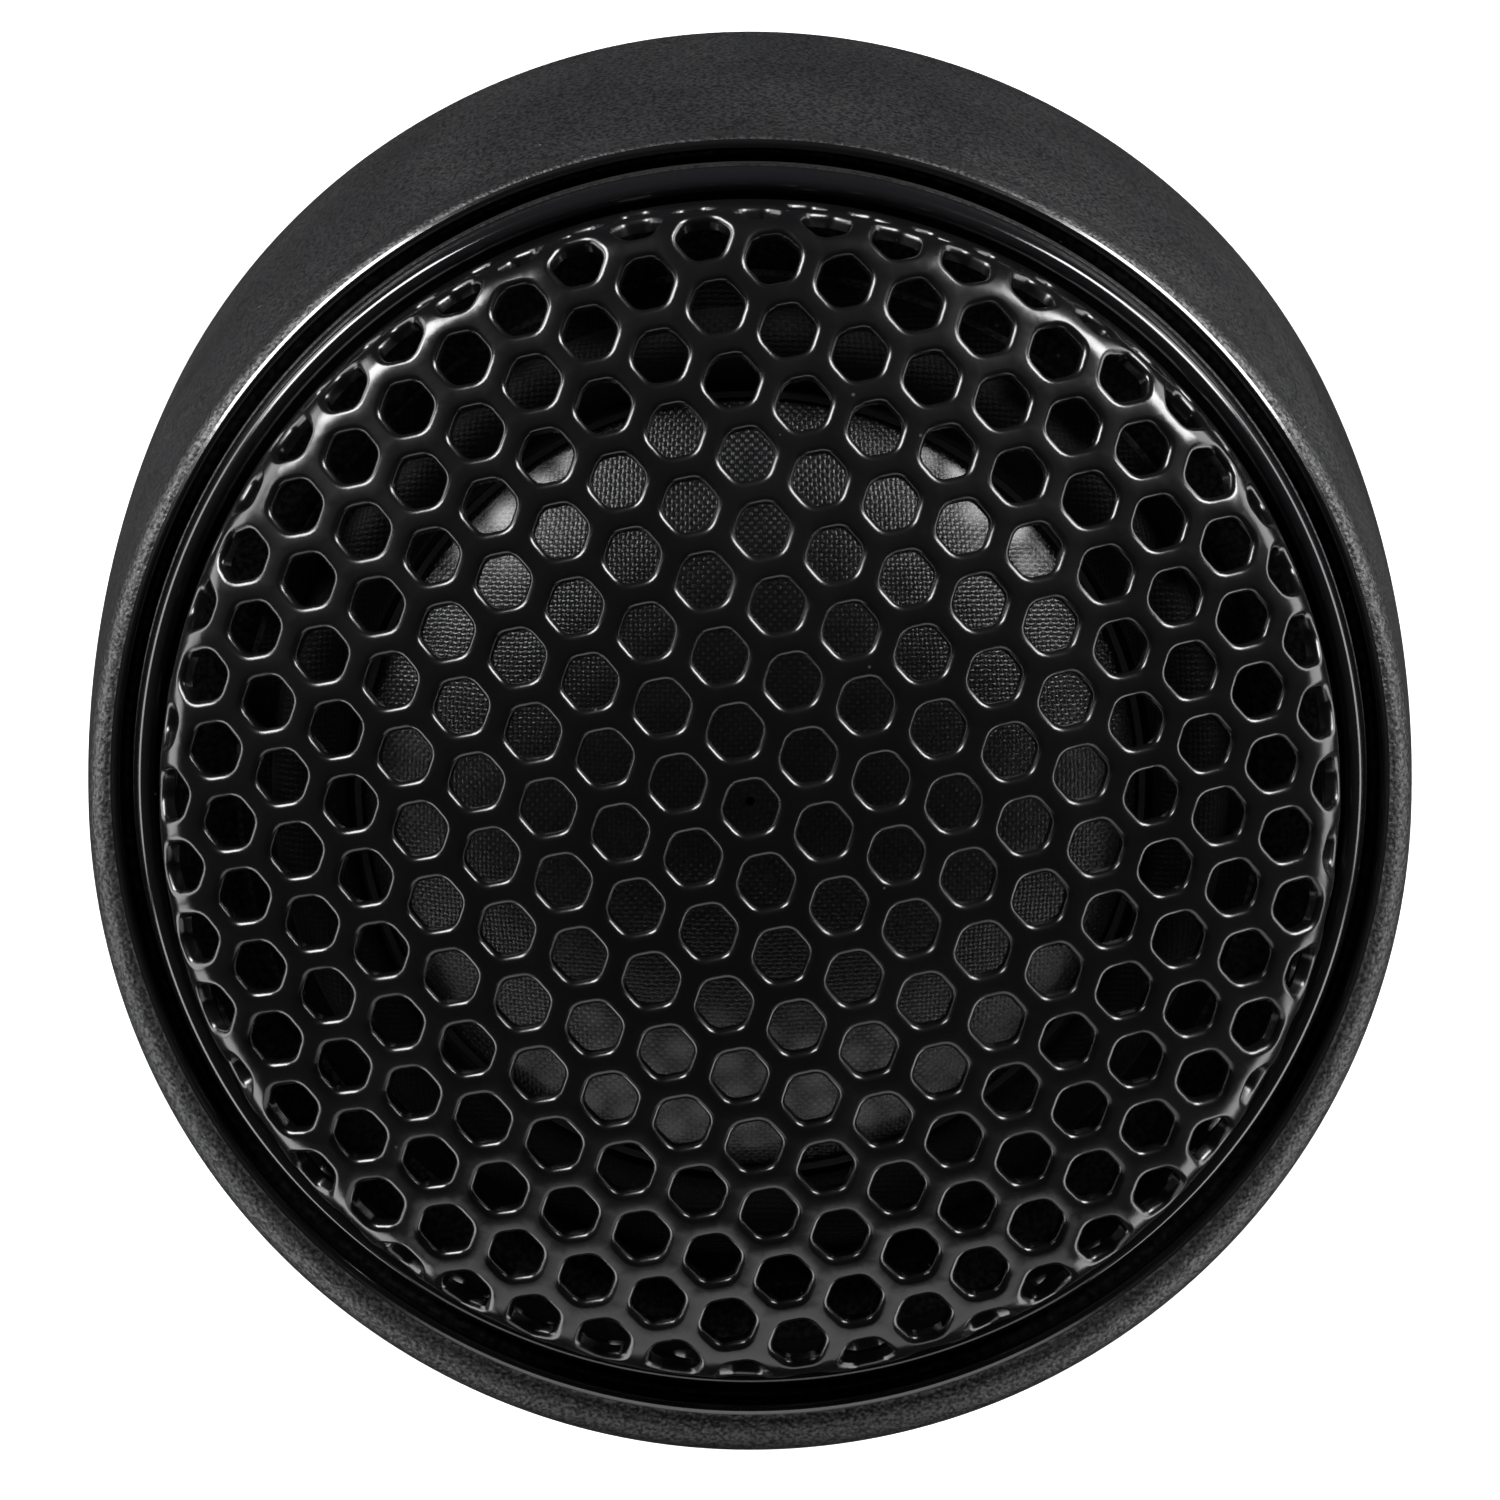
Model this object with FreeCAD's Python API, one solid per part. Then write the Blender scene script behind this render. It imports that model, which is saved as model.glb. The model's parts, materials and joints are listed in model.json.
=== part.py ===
import FreeCAD, Part
import math
import os

from FreeCAD import Placement, Rotation, Vector

# A small silk-dome loudspeaker (tweeter).  A ball-shaped capsule with a domed
# honeycomb grille swivels in an angled round pod, which twists onto a base plate.
# Millimetres and degrees.  The origin is the middle of the underside of the base.

# ---- pod ----
FACE_TILT = 9.5           # the mouth of the pod leans towards -Y by this angle
PIVOT_HEIGHT = 20.0       # centre of the ball above the surface it stands on
REST_SWIVEL = 4.0         # the capsule sits turned back from the pod's axis
POD_FOOT_RADIUS = 23.9
POD_BELLY_RADIUS = 24.25
RIM_RADIUS = 24.05
RIM_OFFSET = 0.6          # the rim is set towards the high side of the pod
RIM_LEVEL = -1.5          # along the pod's axis, from the ball's centre
LIP_RADIUS = 23.0
LIP_LEVEL = 0.05
MOUTH_RADIUS = 22.8
FOOT_GAP = 0.3            # the pod clears the surface under it
CAVITY_FOOT_RADIUS = 22.25
CAVITY_FOOT_TOP = 3.4     # straight wall round the twist lock up to here
CAVITY_TOP_RADIUS = 22.2
CAVITY_TOP_LEVEL = -7.3
CAVITY_TOP_OFFSET = -1.2
MOUTH_STEP = 0.5          # the mouth's wall starts this far above the seat pad
SEAT_RELIEF = 0.6         # room above the seat pad
CUT_PAST = 1.0            # cutters run this far past the face they open

# ---- ball joint ----
BALL_RADIUS = 22.35
SEAT_CLEARANCE = 0.06
PAD_THICKNESS = 0.4
PAD_LOW = -6.5
PAD_HIGH = -4.0
LEDGE_RADIUS = 22.6
BALL_ROOM_LOW = -14.0
ORING_SECTION = 0.35
ORING_LEVEL = -2.0
ORING_CLEARANCE = 0.05
ORING_GROOVE_SLACK = 0.05

# ---- base plate and twist lock ----
PAD_HEIGHT = 0.8
PLATE_TOP = 3.0
PLATE_RADIUS = 20.9
LUG_RADIUS = 21.95
LUG_BOTTOM = 2.0
LUG_ANGLE = 40.0
LUG_ROOT = 1.0            # the lugs are let this far into the plate
FIRST_LUG = 90.0
TAB_ROOT = 0.5            # the tabs are let this far into the pod's wall
TAB_ANGLE = 30.0
TAB_INNER_RADIUS = 21.1
TAB_BOTTOM = 0.9
TAB_TOP = 1.9
STOP_ANGLE = 4.0
STOP_PLAY = 0.8
LOCK_COUNT = 3
SCREW_COUNT = 3
SCREW_START = 30.0        # direction of the first screw hole
SCREW_CIRCLE = 26.0
SCREW_HOLE_RADIUS = 1.75
COUNTERSINK_RADIUS = 3.2
COUNTERSINK_DEPTH = 1.45
CABLE_HOLE_RADIUS = 4.0
GROMMET_BORE = 2.5
GROMMET_FLANGE = 5.2
GROMMET_BOTTOM = 0.1
FLANGE_THICKNESS = 0.8
PAD_WINDOW_SLACK = 0.8    # between the foam pad and the grommet
PAD_RADIUS = 20.5

# ---- capsule, along its own axis from the ball's centre ----
SHELL_BOTTOM = -9.0
SHELL_FLOOR = -8.0
SHELL_YOKE_SLACK = 0.1
ROOM_FOOT_RADIUS = 19.6   # inside of the ball-shaped shell
ROOM_RADIUS = 20.5
FRAME_RADIUS = 20.3
FRAME_BOTTOM = -2.4
FLANGE_BOTTOM = -1.2
CAPSULE_SCREW_COUNT = 3
FIRST_CAPSULE_SCREW = 90.0
CAPSULE_SCREW_CIRCLE = 18.4
SHANK_RADIUS = 0.55
SHANK_LENGTH = 5.0
SHANK_HOLE_RADIUS = 0.65
SHANK_HOLE_DEPTH = 3.0
PILOT_RADIUS = 0.6
HEAD_RADIUS = 1.1
HEAD_HEIGHT = 0.7
PILLAR_RADIUS = 0.95
PILLAR_HEIGHT = 5.8
BEAD_CENTRE = 21.8        # rounded crest of the bezel ring
BEAD_LEVEL = 1.0
BEAD_RADIUS = 0.36
BEZEL_INNER_TOP = 0.8
BEZEL_OUTER = 22.3
BEZEL_SHOULDER = 0.45
GRILLE_RADIUS = 21.2
GRILLE_THICKNESS = 0.55
GRILLE_TOP = 10.75
DOME_RADIUS = 48.0
KNUCKLE_RADIUS = 1.8
HOLE_PITCH = 2.75
HOLE_WIDTH = 1.86         # across the flats of each hexagon
LATTICE_ANGLE = 41.5
FIRST_HOLE = (-0.03, -0.46)
PUNCH_STROKE = 2.0
HOLE_REACH = 25.3         # holes stop this far from the apex, along the sheet

# ---- drive unit ----
YOKE_RADIUS = 17.3
YOKE_TOP = -1.0
YOKE_BOTTOM = -8.7
YOKE_FLOOR = -6.5
VENT_RADIUS = 2.5
GAP_RADIUS = 14.75        # outside of the slot that the voice coil moves in
GAP_BOTTOM = -3.2
YOKE_WALL_INNER = 15.5
YOKE_TAPER_END = -3.8
POLE_RADIUS = 13.6
POLE_TOP = -1.2
POLE_BOTTOM = -3.0
MAGNET_RADIUS = 12.8
CAP_THICKNESS = 0.15
FELT_RADIUS = 10.5
FELT_THICKNESS = 1.5
SILK_EDGE_RADIUS = 14.2
SILK_SPHERE_RADIUS = 23.5
SILK_THICKNESS = 0.25
SILK_EDGE_LEVEL = 1.0
FORMER_INNER = 14.0
FORMER_OUTER = 14.15
FORMER_TAIL = 0.2         # the former reaches this far past the coil
COIL_OUTER = 14.4
COIL_BOTTOM = -3.4
COIL_TOP = -0.6
ROLL_INNER = 14.5
ROLL_OUTER = 17.3
ROLL_THICKNESS = 0.2
LAND_OUTER = 18.6
LAND_TOP = 0.8
SURROUND_RIM = 18.4
SURROUND_LIP = 14.7
CHAMBER_RADIUS = 11.0
CHAMBER_BOTTOM = -12.4
CHAMBER_WALL = 1.0
WOOL_SLACK = 0.2
WOOL_TOP = -9.0
LEAD_X = 17.95
LEAD_Y = 3.0
LEAD_RADIUS = 0.25
LEAD_DROP = 1.6           # the leads turn inwards this far under the yoke
LEAD_HOLE_RADIUS = 0.5
LEAD_HOLE_LENGTH = 10.1
BOARD_LENGTH = 5.0
BOARD_WIDTH = 9.0
BOARD_THICKNESS = 1.0
BOARD_X = 11.6
TERMINAL_X = 14.0
TERMINAL_THICKNESS = 0.5
TERMINAL_WIDTH = 2.0
TERMINAL_LENGTH = 3.2

AXIS = Vector(0, 0, 1)
PIVOT = Vector(0, 0, PIVOT_HEIGHT)
POD_PLACE = Placement(PIVOT, Rotation(Vector(1, 0, 0), FACE_TILT))
CAPSULE_PLACE = Placement(PIVOT, Rotation(Vector(1, 0, 0), FACE_TILT - REST_SWIVEL))


def turned(points):
    """Solid of revolution about Z from its outline of (radius, height) points."""
    outline = [Vector(radius, 0, height) for radius, height in points]
    face = Part.Face(Part.makePolygon(outline + outline[:1]))
    return face.revolve(Vector(0, 0, 0), AXIS, 360)


def disc(radius, low, high, inner=0.0):
    """Flat disc or ring between two heights."""
    solid = Part.makeCylinder(radius, high - low, Vector(0, 0, low))
    if inner > 0:
        solid = solid.cut(Part.makeCylinder(inner, high - low, Vector(0, 0, low)))
    return solid


def ball_zone(radius, low, high):
    """The part of a ball between two levels."""
    first = math.degrees(math.asin(low / radius))
    last = math.degrees(math.asin(high / radius))
    return Part.makeSphere(radius, Vector(0, 0, 0), AXIS, first, last, 360)


def sector(inner, outer, low, high, middle, width):
    """Block of a ring, so many degrees wide, centred on one direction."""
    start = Vector(inner, 0, low)
    corners = [start, Vector(outer, 0, low), Vector(outer, 0, high), Vector(inner, 0, high)]
    face = Part.Face(Part.makePolygon(corners + [start]))
    block = face.revolve(Vector(0, 0, 0), AXIS, width)
    block.rotate(Vector(0, 0, 0), AXIS, middle - width / 2)
    return block


def circle_of(count, start=0.0):
    """Evenly spaced directions."""
    return [start + index * 360.0 / count for index in range(count)]


def polar(radius, angle, height=0.0):
    """Point at a radius and an angle in degrees."""
    turn = math.radians(angle)
    return Vector(radius * math.cos(turn), radius * math.sin(turn), height)


def in_frame(place, solid):
    """Copy of a solid moved from its own axis into the object's frame."""
    moved = solid.copy()
    moved.Placement = place.multiply(solid.Placement)
    return moved


def ring_wire(place, radius, offset, level):
    """Circle square to a placed axis, as a wire."""
    centre = place.multVec(Vector(0, offset, level))
    normal = place.Rotation.multVec(AXIS)
    return Part.Wire(Part.makeCircle(radius, centre, normal))


# ---- base ----

def base_plate():
    plate = disc(PLATE_RADIUS, PAD_HEIGHT, PLATE_TOP, CABLE_HOLE_RADIUS)
    for angle in circle_of(LOCK_COUNT, FIRST_LUG):
        plate = plate.fuse(sector(PLATE_RADIUS - LUG_ROOT, LUG_RADIUS, LUG_BOTTOM, PLATE_TOP, angle, LUG_ANGLE))
        stop_at = angle - (TAB_ANGLE + STOP_ANGLE) / 2 - STOP_PLAY
        plate = plate.fuse(sector(PLATE_RADIUS - LUG_ROOT, LUG_RADIUS, PAD_HEIGHT, PLATE_TOP, stop_at, STOP_ANGLE))
    for angle in circle_of(SCREW_COUNT, SCREW_START):
        hole = Part.makeCylinder(SCREW_HOLE_RADIUS, PLATE_TOP, polar(SCREW_CIRCLE / 2, angle))
        sink_low = polar(SCREW_CIRCLE / 2, angle, PLATE_TOP - COUNTERSINK_DEPTH)
        sink = Part.makeCone(SCREW_HOLE_RADIUS, COUNTERSINK_RADIUS, COUNTERSINK_DEPTH, sink_low)
        plate = plate.cut(hole).cut(sink)
    return plate.removeSplitter()


def base_pad():
    pad = disc(PAD_RADIUS, 0, PAD_HEIGHT, GROMMET_FLANGE + PAD_WINDOW_SLACK)
    for angle in circle_of(SCREW_COUNT, SCREW_START):
        pad = pad.cut(Part.makeCylinder(COUNTERSINK_RADIUS, PAD_HEIGHT, polar(SCREW_CIRCLE / 2, angle)))
    return pad


def cable_grommet():
    flange_top = PLATE_TOP + FLANGE_THICKNESS
    return turned([
        (GROMMET_BORE, GROMMET_BOTTOM), (GROMMET_FLANGE, GROMMET_BOTTOM), (GROMMET_FLANGE, PAD_HEIGHT),
        (CABLE_HOLE_RADIUS, PAD_HEIGHT), (CABLE_HOLE_RADIUS, PLATE_TOP),
        (GROMMET_FLANGE, PLATE_TOP), (GROMMET_FLANGE, flange_top), (GROMMET_BORE, flange_top)])


# ---- pod ----

def pod_outside():
    """Angled cup: foot circle, belly and rim lofted together, then the lip."""
    foot = Part.Wire(Part.makeCircle(POD_FOOT_RADIUS, Vector(0, 0, FOOT_GAP), AXIS))
    rim = ring_wire(POD_PLACE, RIM_RADIUS, RIM_OFFSET, RIM_LEVEL)
    lip = ring_wire(POD_PLACE, LIP_RADIUS, 0, LIP_LEVEL)
    belly_place = Placement(Vector(0, 0, PIVOT_HEIGHT / 2), Rotation(Vector(1, 0, 0), FACE_TILT / 2))
    belly = ring_wire(belly_place, POD_BELLY_RADIUS, RIM_OFFSET / 2, 0)
    body = Part.makeLoft([foot, belly, rim], True, False)
    return body.fuse(Part.makeLoft([rim, lip], True, True))


def pod_cavity():
    """Room for the ball, its seat and its ring, and the hollow under them."""
    mouth = disc(MOUTH_RADIUS, PAD_HIGH + MOUTH_STEP, LIP_LEVEL + CUT_PAST)
    room = mouth.fuse(ball_zone(LEDGE_RADIUS, BALL_ROOM_LOW, LIP_LEVEL))
    seat_radius = BALL_RADIUS + SEAT_CLEARANCE + PAD_THICKNESS
    room = room.fuse(ball_zone(seat_radius, PAD_LOW, PAD_HIGH + SEAT_RELIEF))
    groove = Part.makeTorus(ring_circle(), ORING_SECTION + ORING_GROOVE_SLACK, Vector(0, 0, ORING_LEVEL))
    room = in_frame(POD_PLACE, room.fuse(groove))
    foot = Part.Wire(Part.makeCircle(CAVITY_FOOT_RADIUS, Vector(0, 0, CAVITY_FOOT_TOP), AXIS))
    top = ring_wire(POD_PLACE, CAVITY_TOP_RADIUS, CAVITY_TOP_OFFSET, CAVITY_TOP_LEVEL)
    return room.fuse(Part.makeLoft([foot, top], True, True)).fuse(disc(CAVITY_FOOT_RADIUS, 0, CAVITY_FOOT_TOP))


def pod_shell():
    shell = pod_outside().cut(pod_cavity())
    for angle in circle_of(LOCK_COUNT, FIRST_LUG):
        tab = sector(TAB_INNER_RADIUS, CAVITY_FOOT_RADIUS + TAB_ROOT, TAB_BOTTOM, TAB_TOP, angle, TAB_ANGLE)
        shell = shell.fuse(tab)
    return shell.removeSplitter()


def seat_pad():
    """Felt band that the ball turns on."""
    inner = BALL_RADIUS + SEAT_CLEARANCE
    ball = ball_zone(inner, PAD_LOW - CUT_PAST, PAD_HIGH + CUT_PAST)
    return ball_zone(inner + PAD_THICKNESS, PAD_LOW, PAD_HIGH).cut(ball)


def ring_circle():
    """Radius of the friction ring's centre line, just clear of the ball at its own level."""
    reach = BALL_RADIUS + ORING_CLEARANCE + ORING_SECTION
    return math.sqrt(reach ** 2 - ORING_LEVEL ** 2)


def friction_ring():
    return Part.makeTorus(ring_circle(), ORING_SECTION, Vector(0, 0, ORING_LEVEL))


# ---- capsule ----

def capsule_shell():
    """Ball-shaped housing, open at the face and over the yoke."""
    low = SHELL_BOTTOM - CUT_PAST
    mouth = YOKE_RADIUS + SHELL_YOKE_SLACK
    room = turned([
        (0, low), (mouth, low), (mouth, SHELL_FLOOR), (ROOM_FOOT_RADIUS, SHELL_FLOOR),
        (ROOM_RADIUS, FRAME_BOTTOM), (ROOM_RADIUS, FLANGE_BOTTOM), (GRILLE_RADIUS, FLANGE_BOTTOM),
        (GRILLE_RADIUS, CUT_PAST), (0, CUT_PAST)])
    shell = ball_zone(BALL_RADIUS, SHELL_BOTTOM, 0).cut(room)
    for angle in circle_of(CAPSULE_SCREW_COUNT, FIRST_CAPSULE_SCREW):
        hole_low = polar(CAPSULE_SCREW_CIRCLE, angle, low)
        shell = shell.cut(Part.makeCylinder(SHANK_HOLE_RADIUS, SHANK_HOLE_DEPTH, hole_low))
    return cut_lead_holes(shell)


def cut_lead_holes(solid):
    for side in (-1, 1):
        hole_low = Vector(LEAD_X, side * LEAD_Y, SHELL_BOTTOM - CUT_PAST)
        solid = solid.cut(Part.makeCylinder(LEAD_HOLE_RADIUS, LEAD_HOLE_LENGTH, hole_low))
    return solid


def bezel_ring():
    """Gloss ring with a rounded crest that traps the grille."""
    shoulder = Vector(BEZEL_OUTER, 0, BEZEL_SHOULDER)
    outer = BEAD_CENTRE + BEAD_RADIUS
    bead_end = Vector(BEAD_CENTRE - BEAD_RADIUS * math.cos(math.pi / 6), 0, BEAD_LEVEL + BEAD_RADIUS / 2)
    crest = Vector(BEAD_CENTRE, 0, BEAD_LEVEL + BEAD_RADIUS)
    corners = [bead_end, Vector(GRILLE_RADIUS, 0, BEZEL_INNER_TOP), Vector(GRILLE_RADIUS, 0, 0),
               Vector(BEZEL_OUTER, 0, 0), shoulder, Vector(outer, 0, BEAD_LEVEL)]
    edges = [Part.makeLine(corners[index], corners[index + 1]) for index in range(5)]
    edges.append(Part.Arc(corners[5], crest, corners[0]).toShape())
    return Part.Face(Part.Wire(edges)).revolve(Vector(0, 0, 0), AXIS, 360)


def grille_profile(reach):
    """Radius, level and slope of the sheet's outside, this far from its apex.

    A shallow ball cap runs into a knuckle arc that ends upright at the skirt.
    """
    end_angle = math.asin((GRILLE_RADIUS - KNUCKLE_RADIUS) / (DOME_RADIUS - KNUCKLE_RADIUS))
    cap_reach = DOME_RADIUS * end_angle
    if reach <= cap_reach:
        angle = reach / DOME_RADIUS
        return DOME_RADIUS * math.sin(angle), GRILLE_TOP - DOME_RADIUS * (1 - math.cos(angle)), angle
    full_reach = cap_reach + KNUCKLE_RADIUS * (math.pi / 2 - end_angle)
    angle = end_angle + (min(reach, full_reach) - cap_reach) / KNUCKLE_RADIUS
    middle_radius = (DOME_RADIUS - KNUCKLE_RADIUS) * math.sin(end_angle)
    middle_level = GRILLE_TOP - DOME_RADIUS + (DOME_RADIUS - KNUCKLE_RADIUS) * math.cos(end_angle)
    radius = middle_radius + KNUCKLE_RADIUS * math.sin(angle)
    down_skirt = max(reach - full_reach, 0)
    return radius, middle_level + KNUCKLE_RADIUS * math.cos(angle) - down_skirt, angle


def grille_blank(inset):
    """Solid under the grille's outside, or under its inside with an inset."""
    end_angle = math.asin((GRILLE_RADIUS - KNUCKLE_RADIUS) / (DOME_RADIUS - KNUCKLE_RADIUS))
    cap_reach = DOME_RADIUS * end_angle
    full_reach = cap_reach + KNUCKLE_RADIUS * (math.pi / 2 - end_angle)

    def point(reach):
        radius, level, slope = grille_profile(reach)
        return Vector(radius - inset * math.sin(slope), 0, level - inset * math.cos(slope))

    apex = point(0)
    shoulder = point(cap_reach)
    skirt = point(full_reach)
    cap = Part.Arc(apex, point(cap_reach / 2), shoulder).toShape()
    knuckle = Part.Arc(shoulder, point((cap_reach + full_reach) / 2), skirt).toShape()
    foot = Vector(skirt.x, 0, 0)
    sides = [Part.makeLine(skirt, foot), Part.makeLine(foot, Vector(0, 0, 0)), Part.makeLine(Vector(0, 0, 0), apex)]
    return Part.Face(Part.Wire([cap, knuckle] + sides)).revolve(Vector(0, 0, 0), AXIS, 360)


def hexagon_punch(along, across):
    """Six-sided punch square to the sheet at one place of the flat lattice."""
    reach = math.hypot(along, across)
    turn = math.atan2(across, along)
    radius, level, slope = grille_profile(reach)
    outward = Vector(math.cos(turn), math.sin(turn), 0)
    downhill = outward * math.cos(slope) - AXIS * math.sin(slope)
    sideways = Vector(-math.sin(turn), math.cos(turn), 0)
    normal = outward * math.sin(slope) + AXIS * math.cos(slope)
    middle = outward * radius + AXIS * level - normal * PUNCH_STROKE / 2
    corner_radius = HOLE_WIDTH / 2 / math.cos(math.pi / 6)
    corners = []
    for index in range(6):
        angle = math.radians(LATTICE_ANGLE + 30 + 60 * index) - turn
        corner = downhill * math.cos(angle) + sideways * math.sin(angle)
        corners.append(middle + corner * corner_radius)
    return Part.Face(Part.makePolygon(corners + corners[:1])).extrude(normal * PUNCH_STROKE)


def lattice():
    """Hole places on the flat sheet, within reach of its middle."""
    first = polar(HOLE_PITCH, LATTICE_ANGLE)
    second = polar(HOLE_PITCH, LATTICE_ANGLE + 60)
    span = range(-12, 13)
    places = [Vector(FIRST_HOLE[0], FIRST_HOLE[1], 0) + first * i + second * j for i in span for j in span]
    return [place for place in places if place.Length <= HOLE_REACH]


def honeycomb_grille():
    sheet = grille_blank(0).cut(grille_blank(GRILLE_THICKNESS))
    punches = [hexagon_punch(place.x, place.y) for place in lattice()]
    return sheet.cut(Part.makeCompound(punches))


def front_frame():
    """Moulded ring that carries the yoke, the surround and the grille."""
    frame = turned([
        (YOKE_RADIUS, FRAME_BOTTOM), (FRAME_RADIUS, FRAME_BOTTOM), (FRAME_RADIUS, FLANGE_BOTTOM),
        (GRILLE_RADIUS, FLANGE_BOTTOM), (GRILLE_RADIUS, 0), (LAND_OUTER, 0), (LAND_OUTER, LAND_TOP),
        (YOKE_RADIUS, LAND_TOP)])
    for angle in circle_of(CAPSULE_SCREW_COUNT, FIRST_CAPSULE_SCREW):
        pillar_low = polar(CAPSULE_SCREW_CIRCLE, angle, SHELL_FLOOR)
        pillar = Part.makeCylinder(PILLAR_RADIUS, PILLAR_HEIGHT, pillar_low)
        hole = Part.makeCylinder(PILOT_RADIUS, SHANK_LENGTH, pillar_low)
        frame = frame.fuse(pillar).cut(hole)
    return cut_lead_holes(frame)


def capsule_screws():
    screws = []
    for angle in circle_of(CAPSULE_SCREW_COUNT, FIRST_CAPSULE_SCREW):
        shank = Part.makeCylinder(SHANK_RADIUS, SHANK_LENGTH, polar(CAPSULE_SCREW_CIRCLE, angle, SHELL_BOTTOM))
        head_low = polar(CAPSULE_SCREW_CIRCLE, angle, SHELL_BOTTOM - HEAD_HEIGHT)
        head = Part.makeCylinder(HEAD_RADIUS, HEAD_HEIGHT, head_low)
        screws.append(shank.fuse(head))
    return Part.makeCompound(screws)


def yoke():
    return turned([
        (VENT_RADIUS, YOKE_BOTTOM), (YOKE_RADIUS, YOKE_BOTTOM), (YOKE_RADIUS, YOKE_TOP),
        (GAP_RADIUS, YOKE_TOP), (GAP_RADIUS, GAP_BOTTOM), (YOKE_WALL_INNER, YOKE_TAPER_END),
        (YOKE_WALL_INNER, YOKE_FLOOR), (VENT_RADIUS, YOKE_FLOOR)])


def copper_cap():
    outer = POLE_RADIUS + CAP_THICKNESS
    top = POLE_TOP + CAP_THICKNESS
    return turned([
        (VENT_RADIUS, POLE_TOP), (POLE_RADIUS, POLE_TOP), (POLE_RADIUS, POLE_BOTTOM), (outer, POLE_BOTTOM),
        (outer, top), (VENT_RADIUS, top)])


def rear_chamber():
    inner = CHAMBER_RADIUS - CHAMBER_WALL
    floor = CHAMBER_BOTTOM + CHAMBER_WALL
    return turned([
        (inner, YOKE_BOTTOM), (CHAMBER_RADIUS, YOKE_BOTTOM), (CHAMBER_RADIUS, CHAMBER_BOTTOM),
        (0, CHAMBER_BOTTOM), (0, floor), (inner, floor)])


def terminal_board():
    corner = Vector(BOARD_X, -BOARD_WIDTH / 2, YOKE_BOTTOM - BOARD_THICKNESS)
    return Part.makeBox(BOARD_LENGTH, BOARD_WIDTH, BOARD_THICKNESS, corner)


def terminal_tabs():
    tabs = []
    low = YOKE_BOTTOM - BOARD_THICKNESS - TERMINAL_LENGTH
    for side in (-1, 1):
        corner = Vector(TERMINAL_X, side * LEAD_Y - TERMINAL_WIDTH / 2, low)
        tabs.append(Part.makeBox(TERMINAL_THICKNESS, TERMINAL_WIDTH, TERMINAL_LENGTH, corner))
    return Part.makeCompound(tabs)


def lead_wires():
    """Two bare leads from the frame, through the shell, to the terminal tabs."""
    wires = []
    level = YOKE_BOTTOM - LEAD_DROP
    run_length = LEAD_X - TERMINAL_X - TERMINAL_THICKNESS
    for side in (-1, 1):
        corner = Vector(LEAD_X, side * LEAD_Y, level)
        drop = Part.makeCylinder(LEAD_RADIUS, -level, corner)
        run = Part.makeCylinder(LEAD_RADIUS, run_length, corner, Vector(-1, 0, 0))
        wires.append(drop.fuse(run).fuse(Part.makeSphere(LEAD_RADIUS, corner)))
    return Part.makeCompound(wires)


# ---- moving diaphragm ----

def silk_dome():
    centre = Vector(0, 0, SILK_EDGE_LEVEL - math.sqrt(SILK_SPHERE_RADIUS ** 2 - SILK_EDGE_RADIUS ** 2))
    outside = Part.makeSphere(SILK_SPHERE_RADIUS, centre)
    inside = Part.makeSphere(SILK_SPHERE_RADIUS - SILK_THICKNESS, centre)
    above = disc(SILK_SPHERE_RADIUS, SILK_EDGE_LEVEL, SILK_EDGE_LEVEL + SILK_SPHERE_RADIUS)
    return outside.cut(inside).common(above)


def surround():
    """Half roll between the dome and the frame, with a flat glue rim on each side."""
    middle = (ROLL_INNER + ROLL_OUTER) / 2
    roll = (ROLL_OUTER - ROLL_INNER) / 2
    inner_roll = roll - ROLL_THICKNESS
    low = LAND_TOP
    high = LAND_TOP + ROLL_THICKNESS
    outside = Part.Arc(Vector(middle - roll, 0, low), Vector(middle, 0, low + roll), Vector(middle + roll, 0, low))
    inside = Part.Arc(Vector(middle + inner_roll, 0, low), Vector(middle, 0, low + inner_roll),
                      Vector(middle - inner_roll, 0, low))
    left = Part.makeLine(Vector(middle - inner_roll, 0, low), Vector(middle - roll, 0, low))
    right = Part.makeLine(Vector(middle + roll, 0, low), Vector(middle + inner_roll, 0, low))
    half_roll = Part.Face(Part.Wire([outside.toShape(), right, inside.toShape(), left]))
    rolled = half_roll.revolve(Vector(0, 0, 0), AXIS, 360)
    glue_rim = disc(SURROUND_RIM, low, high, ROLL_OUTER - ROLL_THICKNESS)
    return rolled.fuse(glue_rim).fuse(disc(SURROUND_LIP, low, high, FORMER_OUTER))


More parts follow.
